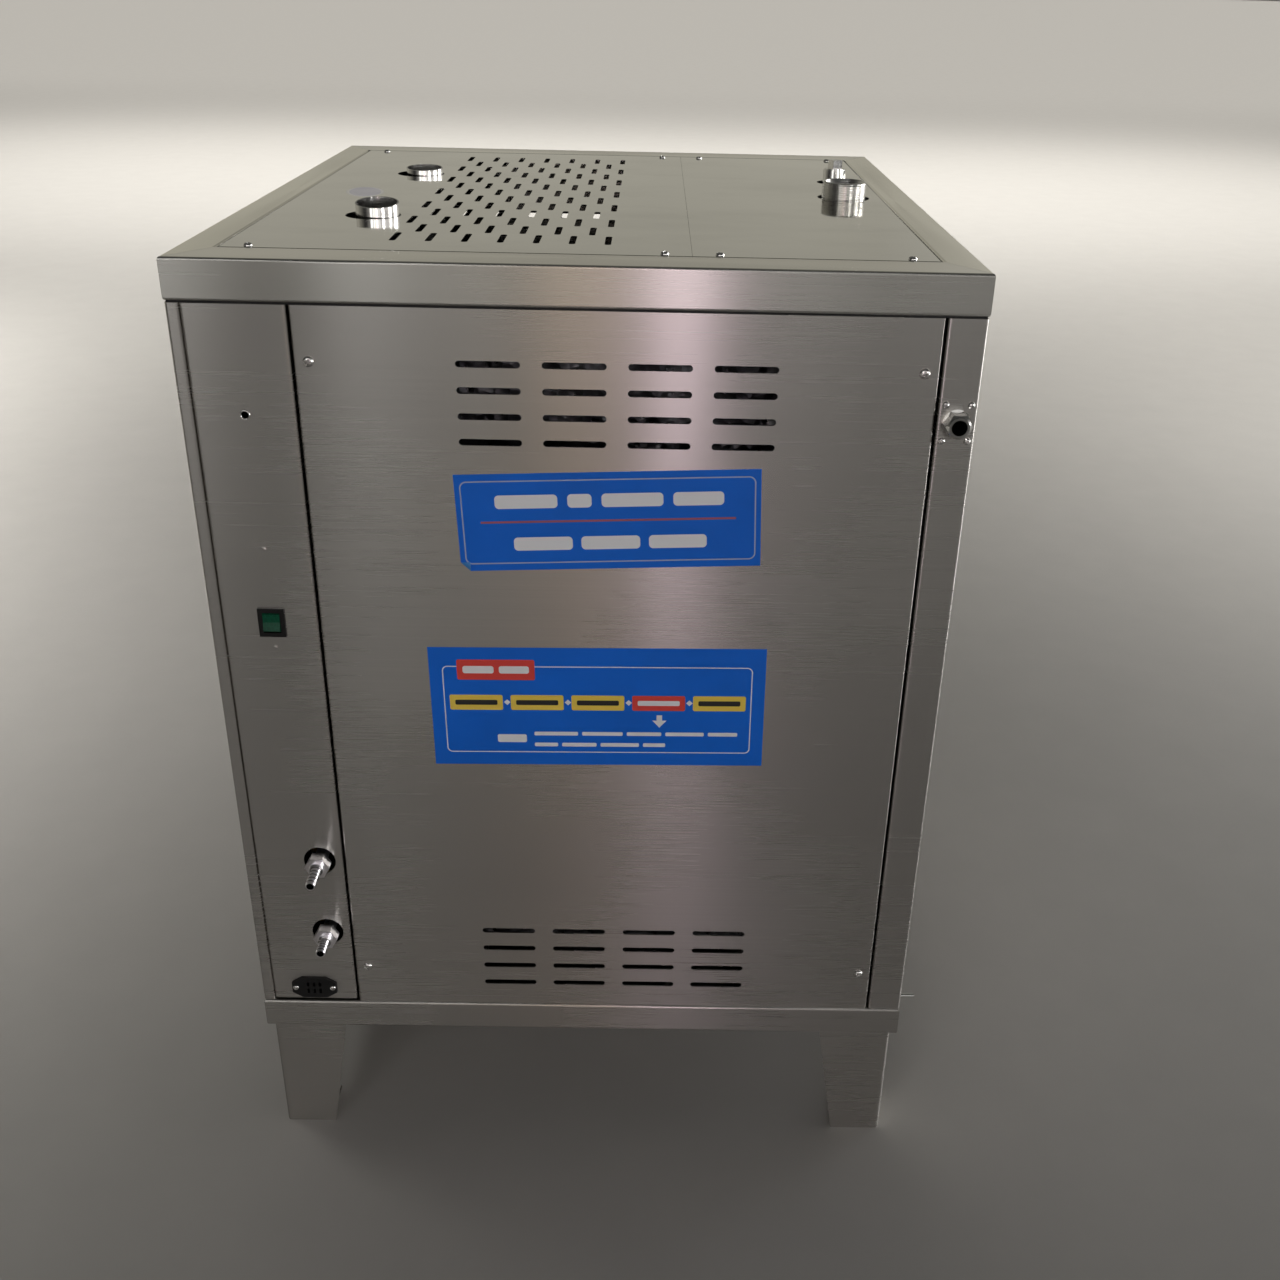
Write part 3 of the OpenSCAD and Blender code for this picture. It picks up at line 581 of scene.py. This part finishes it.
# %% [markdown]
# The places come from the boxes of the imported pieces: a screw of the access panel sits at
# one inset from the panel's edges, whatever the panel measures.

# %% Screws of the access panel and the top plates
access_low, access_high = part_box("access_panel")
service_low, service_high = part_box("service_panel")
panel_y = access_low.y
inset_x, inset_z = 13 * mm, 48 * mm
pan_heads("access_panel_screws", [
    (x, panel_y, z)
    for x in (access_low.x + inset_x, access_high.x - inset_x)
    for z in (access_low.z + inset_z, access_high.z - inset_z)
], front_face, 9.6 * mm, 2.6 * mm)

left_low, left_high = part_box("top_plate_left")
right_low, right_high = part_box("top_plate_right")
plate_top = left_high.z
plate_inset, side_inset, joint_inset = 9 * mm, 23 * mm, 24 * mm
pan_heads("top_plate_screws", [
    (x, y, plate_top)
    for y in (left_low.y + plate_inset, left_high.y - plate_inset)
    for x in (left_low.x + side_inset, left_high.x - joint_inset,
              right_low.x + joint_inset, right_high.x - side_inset)
], top_face, 8 * mm, 2.2 * mm)

# %% Screws of the steam outlet and the socket
outlet_low, outlet_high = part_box("steam_outlet")
outlet = (outlet_low + outlet_high) / 2
outlet_half_x, outlet_half_z, socket_half_x = 11.4, 16.3, 20
lap_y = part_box("side_panel_right")[0].y
pan_heads("steam_outlet_screws", [
    (outlet.x + x * mm, lap_y, outlet.z + z * mm)
    for x in (-outlet_half_x, outlet_half_x)
    for z in (-outlet_half_z, outlet_half_z)
], front_face, 6.6 * mm, 2.4 * mm)

socket_low, socket_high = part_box("power_socket")
socket = (socket_low + socket_high) / 2
pan_heads("power_socket_screws", [
    (socket.x + x * mm, socket_low.y, socket.z) for x in (-socket_half_x, socket_half_x)
], front_face, 6.4 * mm, 1.8 * mm)

# %% [markdown]
# ## The eyelet and the stud marks
# A small ring lines the hole near the top of the service panel: a circle carried round a
# circle, with rows and columns both joined up. Below it the welded studs of the parts
# inside show as three shallow bumps in the sheet.

# %% Ring round the small hole
service_x = (service_low.x + service_high.x) / 2
eyelet_drop, eyelet_r, bead_r = 96.5 * mm, 3.9 * mm, 0.75 * mm
eyelet_place = np.array([service_x, panel_y, service_high.z - eyelet_drop])
bead = np.linspace(0, 2 * pi, 12, endpoint=False)[:, None]
around = np.linspace(0, 2 * pi, 40, endpoint=False)[None, :]
ring = np.stack(np.broadcast_arrays(
    (eyelet_r + bead_r * np.cos(bead)) * np.cos(around),
    (eyelet_r + bead_r * np.cos(bead)) * np.sin(around),
    bead_r * np.sin(bead) + 0.3 * mm), -1)
points, faces = skins((ring @ front_face.T + eyelet_place)[None], "ring")
new_piece("eyelet_ring", points, faces, turned_steel)


# %% Stud marks in the service panel
def low_domes(name, places, radius, rise, material):
    """A dome whose height is rise times the squared cosine of a quarter turn over r."""
    r = np.concatenate([np.linspace(0, 1, 9), [1.0, 0.0]])[:, None]
    angle = np.linspace(0, 2 * pi, 28, endpoint=False)[None, :]
    height = rise * np.cos(r * pi / 2) ** 2 + 0 * angle
    height[-2:] = -0.2 * mm
    local = np.stack([radius * r * np.cos(angle), radius * r * np.sin(angle), height], -1)
    grids = np.array([local @ front_face.T + np.array(place) for place in places])
    points, faces = skins(grids, "poles")
    return new_piece(name, points, faces, material)


stud_drops = (223.5, 324.5, 477.5)
low_domes("stud_marks", [
    (service_x + 2 * mm, panel_y, service_high.z - drop * mm) for drop in stud_drops
], 3 * mm, 0.45 * mm, panel_steel)

# %% [markdown]
# ## The threaded steam stub
# The stub in the right top plate ends in a pipe thread, so it replaces the plain packed
# pipe. A thread is a cylinder whose radius follows a triangle wave, and the wave climbs by
# one pitch for each turn: the phase is the height over the pitch less the angle over a
# turn. The grid runs up the outside, over the rim, down the bore and out to the collar.


# %% Thread as a wave that climbs round the pipe
def threaded_stub():
    """The radius is the outside's less the cut times one minus the wave, and the cut
    fades in over two pitches at the foot of the thread and out over one at its end."""
    low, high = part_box("steam_stub")
    centre = (low + high) / 2
    outer_r, bore_r = 23.9 * mm, 20.5 * mm
    pitch, cut, threaded, columns = 2.309 * mm, 1.25 * mm, 30 * mm, 96
    collar_r, collar_h = (high.x - low.x) / 2, 3 * mm
    turns = np.linspace(0, 1, columns, endpoint=False)[None, :]
    start = high.z - threaded
    climb = np.linspace(start, high.z - 0.6 * mm, 150)[:, None]
    phase = (climb - start) / pitch - turns
    wave = np.abs((phase % 1) * 2 - 1)
    fade = np.clip((climb - start) / (2 * pitch), 0, 1)
    fade = fade * np.clip((high.z - climb) / pitch, 0.35, 1)
    thread_r = outer_r - cut * fade * (1 - wave)
    collar_top = low.z + collar_h
    foot = [(collar_r, low.z), (collar_r, collar_top), (outer_r, collar_top), (outer_r, start)]
    rim = [(outer_r - cut - 0.2 * mm, high.z), (bore_r + 0.5 * mm, high.z),
           (bore_r, high.z - 0.5 * mm), (bore_r, low.z)]
    foot, rim = np.array(foot), np.array(rim)
    radius = np.concatenate([foot[:, :1] + 0 * turns, thread_r, rim[:, :1] + 0 * turns])
    height = np.concatenate([foot[:, 1], climb[:, 0], rim[:, 1]])
    angle = turns * 2 * pi
    grid = np.stack([radius * np.cos(angle) + centre.x, radius * np.sin(angle) + centre.y,
                     height[:, None] + 0 * radius], -1)
    points, faces = skins(grid[None], "ring")
    stub = new_piece("threaded_steam_stub", points, faces, thread_steel, crease=50)
    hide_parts("steam_stub")


threaded_stub()

# %% [markdown]
# ## Two printed labels
# The labels are thin vinyl, stuck on by hand: one leans by two degrees and its lower left
# corner has come loose and folded over. Their print is drawn by distance: how far a point
# is from a rounded box, in millimetres, gives boxes, frames and bars alike, and a box that
# repeats is one box with its step taken out of the coordinate. The wording is left out,
# and plain bars hold its place.


# %% Distances on a label, in millimetres
def rounded_box(u, v, centre, size, corner=0.0):
    """Outside, the distance to the box shrunk by its corner radius; inside, the nearer
    wall; less the radius in both cases."""
    a = abs(u - centre[0]) - (size[0] / 2 - corner)
    b = abs(v - centre[1]) - (size[1] / 2 - corner)
    outside = a.upper(0.0) * a.upper(0.0) + b.upper(0.0) * b.upper(0.0)
    return outside.root() + a.upper(b).lower(0.0) - corner


def repeated(u, first, step, count):
    """The coordinate with its nearest whole step taken out, for count copies."""
    index = ((u - first) / step).rounded().upper(0.0).lower(count - 1.0)
    return u - index * step - first


def inked(distance, soft=0.25):
    """1 where the distance is below nought, 0 outside, with a soft edge."""
    return (0.5 - distance / soft).clamp()


def bars(u, v, spans, height, middle):
    """The nearest of several bars that stand in one line, given by their ends."""
    nearest = None
    for left, right in spans:
        bar = rounded_box(u, v, ((left + right) / 2, middle), (right - left, height), height * 0.3)
        nearest = nearest.lower(bar) if nearest else bar
    return nearest


print("label maths is ready")


# %% Vinyl under the print
label_blue, label_white = (0.004, 0.158, 0.78), (0.92, 0.94, 0.97)
label_red, label_yellow = (0.82, 0.075, 0.06), (0.96, 0.72, 0.11)
label_dark = (0.03, 0.03, 0.03)


def vinyl(name, centre, tilt):
    """Label coordinates in millimetres, level with the print, and the blue of the vinyl."""
    finish = Finish(name)
    point = finish.place(centre, (0, -radians(tilt), 0), mm)
    parts = finish.node("SeparateXYZ", None, {0: point})
    cloud = finish.noise(finish.place(), 14, detail=3)
    blue = finish.mix(
        cloud, tuple(0.85 * c for c in label_blue), tuple(1.15 * c for c in label_blue))
    return finish, parts["X"], parts["Z"], blue


def finish_vinyl(finish, colour):
    point = finish.place()
    slow = finish.noise(point, 26, detail=2)
    orange_peel = finish.noise(point, 900, detail=2)
    skin = finish.bump(orange_peel, 0.000012, under=finish.bump(slow, 0.0005))
    return finish.end(Base_Color=colour, Roughness=(slow - 0.5) * 0.15 + 0.42, Normal=skin,
                      Specular_IOR_Level=0.3)


def bare_vinyl():
    """The unprinted back of the vinyl, paler and duller than its face."""
    finish = Finish("vinyl_back")
    cloud = finish.noise(finish.place(), 120, detail=3)
    colour = finish.mix(cloud, (0.04, 0.22, 0.60), (0.08, 0.32, 0.72))
    return finish.end(Base_Color=colour, Roughness=0.5, Specular_IOR_Level=0.3)


# %% Print of the upper label
def upper_print(centre, tilt):
    """A frame, a rule and two rows of bars, each laid over the blue by its distance."""
    finish, u, v, colour = vinyl("upper_label_vinyl", centre, tilt)
    frame_line = abs(rounded_box(u, v, (0, 0), (266.5, 79.5), 6)) - 0.6
    rule = rounded_box(u, v, (-0.6, 0.6), (232.7, 2.0))
    first_row = bars(u, v, [(-103, -46), (-37, -15), (-6, 50), (59, 105)], 13, 20)
    second_row = bars(u, v, [(-88, -34), (-26, 28), (36, 89)], 13, -21)
    colour = finish.mix(inked(frame_line), colour, (0.42, 0.50, 0.68))
    colour = finish.mix(inked(rule), colour, (0.42, 0.13, 0.17))
    colour = finish.mix(inked(first_row.lower(second_row)), colour, label_white)
    return finish_vinyl(finish, colour)


# %% Print of the lower label
def lower_print(centre, tilt):
    """Five step boxes are one box repeated; the fourth is laid over again in red."""
    finish, u, v, colour = vinyl("lower_label_vinyl", centre, tilt)
    frame_line = abs(rounded_box(u, v, (0, -3), (298.6, 95), 5)) - 0.5
    title = rounded_box(u, v, (-98, 41), (75, 22), 2)
    title_bars = bars(u, v, [(-130, -100), (-95, -66)], 8, 41)
    first, step = -118.4, 59.2
    box_u = repeated(u, first, step, 5)
    boxes = rounded_box(box_u, v, (0, 5.2), (51.5, 16.6), 2)
    box_bars = rounded_box(box_u, v, (0, 5.2), (41, 5.5), 1.5)
    red_box = rounded_box(u, v, (first + 3 * step, 5.2), (51.5, 16.6), 2)
    diamond_u = repeated(u, -88.4, step, 4)
    diamonds = abs(diamond_u) + abs(v - 5.6) - 3.2
    arrow_head = (abs(u - 60) * 1.15 - (v + 22)).upper(v + 14)
    arrow = rounded_box(u, v, (60, -11.5), (5.4, 7)).lower(arrow_head)
    heading = rounded_box(u, v, (-85, -35), (28.6, 9), 2)
    long_line = [(-63, -20), (-16, 24), (28, 62), (66, 104), (108, 137)]
    short_line = [(-63, -40), (-36, -2), (2, 40), (44, 66)]
    pale = frame_line.lower(heading)
    pale = pale.lower(bars(u, v, long_line, 4.2, -29.5)).lower(bars(u, v, short_line, 4.2, -42))
    pale = pale.lower(arrow).lower(diamonds)
    colour = finish.mix(inked(pale), colour, label_white)
    colour = finish.mix(inked(title), colour, label_red)
    colour = finish.mix(inked(boxes), colour, label_yellow)
    colour = finish.mix(inked(red_box), colour, label_red)
    on_red = inked(red_box)
    colour = finish.mix(inked(box_bars), colour, finish.mix(on_red, label_dark, label_white))
    colour = finish.mix(inked(title_bars), colour, label_white)
    return finish_vinyl(finish, colour)


# %% [markdown]
# ## The vinyl itself
# The sheet of a label is a grid over its width and height. Its left edge may be cut at
# the lower corner, where the vinyl folds over: a small triangle of it then lies on top
# and shows its back.


# %% Thin closed sheets
def sheet_piece(name, front, back, material):
    """Two grids, one behind the other, joined along their four edges."""
    rows, columns, _ = front.shape
    row, column = np.arange(rows - 1)[:, None], np.arange(columns - 1)[None, :]
    first = row * columns + column
    quads = np.stack([first, first + 1, first + columns + 1, first + columns], -1).reshape(-1, 4)
    grid = np.arange(rows * columns).reshape(rows, columns)
    loop = np.concatenate([grid[0, :-1], grid[:-1, -1], grid[-1, :0:-1], grid[:0:-1, 0]])
    after = np.roll(loop, -1)
    size = rows * columns
    edge = np.stack([loop, loop + size, after + size, after], -1)
    faces = np.concatenate([quads, quads[:, ::-1] + size, edge])
    points = np.concatenate([front, back]).reshape(-1, 3)
    return new_piece(name, points, faces, material)


def on_panel(centre, tilt, u, v, off):
    """The centre plus u and v along the tilted axes, and off in front of the panel."""
    a = radians(tilt)
    return np.stack([centre[0] + u * cos(a) - v * sin(a), panel_y - off + 0 * u,
                     centre[2] + u * sin(a) + v * cos(a)], -1)


def label(name, centre, size, tilt, material, cut=0.0):
    """The front lies off the panel by a thickness and a slow wave; near the cut corner u
    starts later."""
    thick, lift = 0.25 * mm, 0.12 * mm
    v = np.linspace(-size[1] / 2, size[1] / 2, 41)[:, None]
    left = -size[0] / 2 + np.clip(cut - (v + size[1] / 2), 0, None)
    u = left + (size[0] / 2 - left) * np.linspace(0, 1, 121)[None, :]
    v = v + 0 * u
    wave = lift * (1 + np.sin(u * 41 + v * 23) * np.cos(v * 57 - u * 9)) / 2
    return sheet_piece(name, on_panel(centre, tilt, u, v, thick + wave),
                       on_panel(centre, tilt, u, v, 0.02 * mm), material)


def folded_corner(name, centre, size, tilt, cut, material):
    """Rows run from the fold line to the tip: each row is a share of the fold line, moved
    up and right, and the sheet rises by the sine of half a turn and settles on the tip."""
    thick = 0.2 * mm
    t = np.linspace(0, 0.96, 9)[:, None]
    along = np.linspace(0, 1, 9)[None, :]
    u = -size[0] / 2 + cut * (1 - along) + cut * t * along
    v = -size[1] / 2 + cut * along + cut * t * (1 - along)
    rise = 0.35 * mm + 0.9 * mm * np.sin(pi * np.clip(t + 0.12, 0, 1)) + 0 * u
    return sheet_piece(name, on_panel(centre, tilt, u, v, rise + thick),
                       on_panel(centre, tilt, u, v, rise), material)


# %% Both labels and the folded corner
panel_mid = (access_low.x + access_high.x) / 2
upper_place = (panel_mid - 6.75 * mm, panel_y, access_high.z - 189.3 * mm)
lower_place = (panel_mid - 16.75 * mm, panel_y, access_high.z - 384.1 * mm)
upper_size, upper_tilt = (277 * mm, 93.7 * mm), 2.3
lower_size, lower_tilt = (324.7 * mm, 130 * mm), 0.7
fold = 9 * mm
folded_corner("upper_label_fold", upper_place, upper_size, upper_tilt, fold, bare_vinyl())
label("upper_label", upper_place, upper_size, upper_tilt,
      upper_print(upper_place, upper_tilt), cut=fold)
label("lower_label", lower_place, lower_size, lower_tilt, lower_print(lower_place, lower_tilt))

# %% [markdown]
# ## A pale floor
# The floor is one flat disc, so wide that its edge lies above the upper edge of the
# picture.

# %% Pale floor
pale_floor = Finish("pale_floor")
speck = pale_floor.noise(pale_floor.place(), 9, detail=6, rough=0.6)
floor_tone = pale_floor.mix(speck, (0.42, 0.405, 0.385), (0.47, 0.455, 0.43))
pale_floor.end(Base_Color=floor_tone, Roughness=0.75)
floor_r, floor_corners = 200, 64
rim_angle = np.linspace(0, 2 * pi, floor_corners, endpoint=False)
disc = np.stack([floor_r * np.cos(rim_angle), floor_r * np.sin(rim_angle), 0 * rim_angle], -1)
floor_mesh = bpy.data.meshes.new("floor")
floor_mesh.from_pydata(disc.tolist(), [], [tuple(range(floor_corners))])
floor_mesh.materials.append(pale_floor.material)
floor = bpy.data.objects.new("floor", floor_mesh)
scene.collection.objects.link(floor)
print("floor", 2 * floor_r, "m across")

# %% [markdown]
# ## The sky
# Most of what a steel cabinet shows is what stands round it. The room in the photograph
# is bright behind the boiler and dim in front of it, so the sky is mixed from masks of
# the direction: behind or in front, left or right, and how near the horizon. A slow noise
# keeps it from being even.

# %% Sky from masks of the direction
world = bpy.data.worlds.new("studio_sky")
scene.world = world
world.use_nodes = True


class Sky(Finish):
    """The same node laying, for the world instead of a material."""

    def __init__(self, made):
        self.tree = made.node_tree
        self.tree.nodes.clear()


sky = Sky(world)
direction = sky.node("TexCoord")["Generated"]
parts = sky.node("SeparateXYZ", None, {0: direction})
behind = (parts["Y"] * 1.2 + 0.5).clamp()
right = (parts["X"] * 2.2 - 0.35).clamp()
left = (parts["X"] * -2.0 - 0.6).clamp()
low_sky = (1 - abs(parts["Z"]) * 2.2).clamp()
horizon = (1.1 - abs(parts["Z"]) * 4).clamp()
bands = sky.noise(sky.stretched(direction, (1, 1, 0.3)), 3.4, detail=1)
front_sky = sky.mix(horizon, (0.04, 0.04, 0.04), (1.02, 0.98, 0.92))
front_sky = sky.mix(left, front_sky, (0.035, 0.034, 0.033))
front_sky = sky.mix(right * low_sky, front_sky, (0.9, 0.88, 0.87))
rear_sky = sky.mix(low_sky, (0.10, 0.10, 0.09), (0.47, 0.45, 0.38))
rear_sky = sky.mix(right * low_sky * 0.8, rear_sky, (1.1, 1.08, 1.05))
colour = sky.mix(behind, front_sky, rear_sky)
glow = sky.node("Background", None, {"Color": colour, "Strength": bands * 0.5 + 0.77})
sky.node("OutputWorld", None, {"Surface": glow[0]})
print("sky nodes", len(world.node_tree.nodes))

# %% [markdown]
# ## The lights
# Three groups of soft rectangles do different jobs. Four light the floor behind and
# beside the boiler, and metal doesn't mirror them. Seven tall, narrow ones in front stand
# in the brushed sheet as upright bands: their places, powers and colours were fitted until
# the front had the photograph's bands, so they stand for a room and not for real lamps.
# Three cards on the right are seen only as reflections, and draw the bright lines along
# edges, bends and screw heads.


# %% Lights
def soft_light(name, place, target, width, height, power, spread, colour=(1, 1, 1)):
    """A rectangle of light that looks from its place at the target; a narrow spread keeps
    it off the floor beside its aim."""
    lamp = bpy.data.lights.new(name, "AREA")
    lamp.shape, lamp.spread = "RECTANGLE", radians(spread)
    lamp.size, lamp.size_y, lamp.energy, lamp.color = width, height, power, colour
    holder = bpy.data.objects.new(name, lamp)
    scene.collection.objects.link(holder)
    holder.location = place
    holder.rotation_euler = (Vector(target) - Vector(place)).to_track_quat("-Z", "Y").to_euler()
    holder.visible_camera = False
    return holder


warm = (1.0, 0.98, 0.94)
floor_lights = [
    soft_light("rear_floor", (0, 7.0, 4.5), (0, 6.9, 0), 12, 6, 500, 100, warm),
    soft_light("left_floor", (-3.5, 1.5, 3.0), (-3.4, 1.2, 0), 3.2, 3.8, 115, 60, warm),
    soft_light("right_floor", (3.2, 2.0, 3.0), (3.0, 1.7, 0), 3.2, 2.8, 26, 64, warm),
    soft_light("far_floor", (0, 65, 10), (0, 65, 0), 240, 110, 88000, 60, warm)]
for lamp in floor_lights:
    lamp.visible_glossy = False
bands_in_front = [
    ("band_outer", -2.0, 2.2, 0.8, 2.4, 1.60, (1, 1, 1)),
    ("band_left", -1.0, 2.2, 0.3, 2.4, 0.68, (1, 1, 1)),
    ("band_mid", -0.6, 2.2, 0.3, 2.4, 0.38, (1, 0.97, 0.93)),
    ("band_warm", -0.2, 1.7, 0.34, 2.4, 0.50, (1, 0.80, 0.64)),
    ("band_pink", 0.17, 1.2, 0.25, 2.0, 0.86, (1, 0.82, 0.93)),
    ("band_next", 0.6, 2.2, 0.45, 2.4, 0.42, (1, 1, 1)),
    ("band_far_right", 1.2, 2.2, 0.6, 2.4, 0.44, (1, 1, 1))]
bands_y, bands_aim_z = -4.2, 0.9
for name, x, z, width, height, power, colour in bands_in_front:
    soft_light(name, (x, bands_y, z), (x * 0.2, 0, bands_aim_z), width, height, power, 60, colour)
right_card = soft_light("right_card", (3.9, 2.2, 2.6), (0, 0, 0.9), 2.0, 2.4, 60, 120)
front_card = soft_light("front_card", (2.6, -3.6, 1.0), (0, -0.3, 0.6), 0.6, 1.6, 14, 120)
side_card = soft_light("side_card", (4.0, -0.9, 0.7), (0.3, -0.3, 0.6), 1.4, 1.6, 30, 120)
for card in (right_card, front_card, side_card):
    card.visible_diffuse = False
scene.view_settings.view_transform = "Standard"
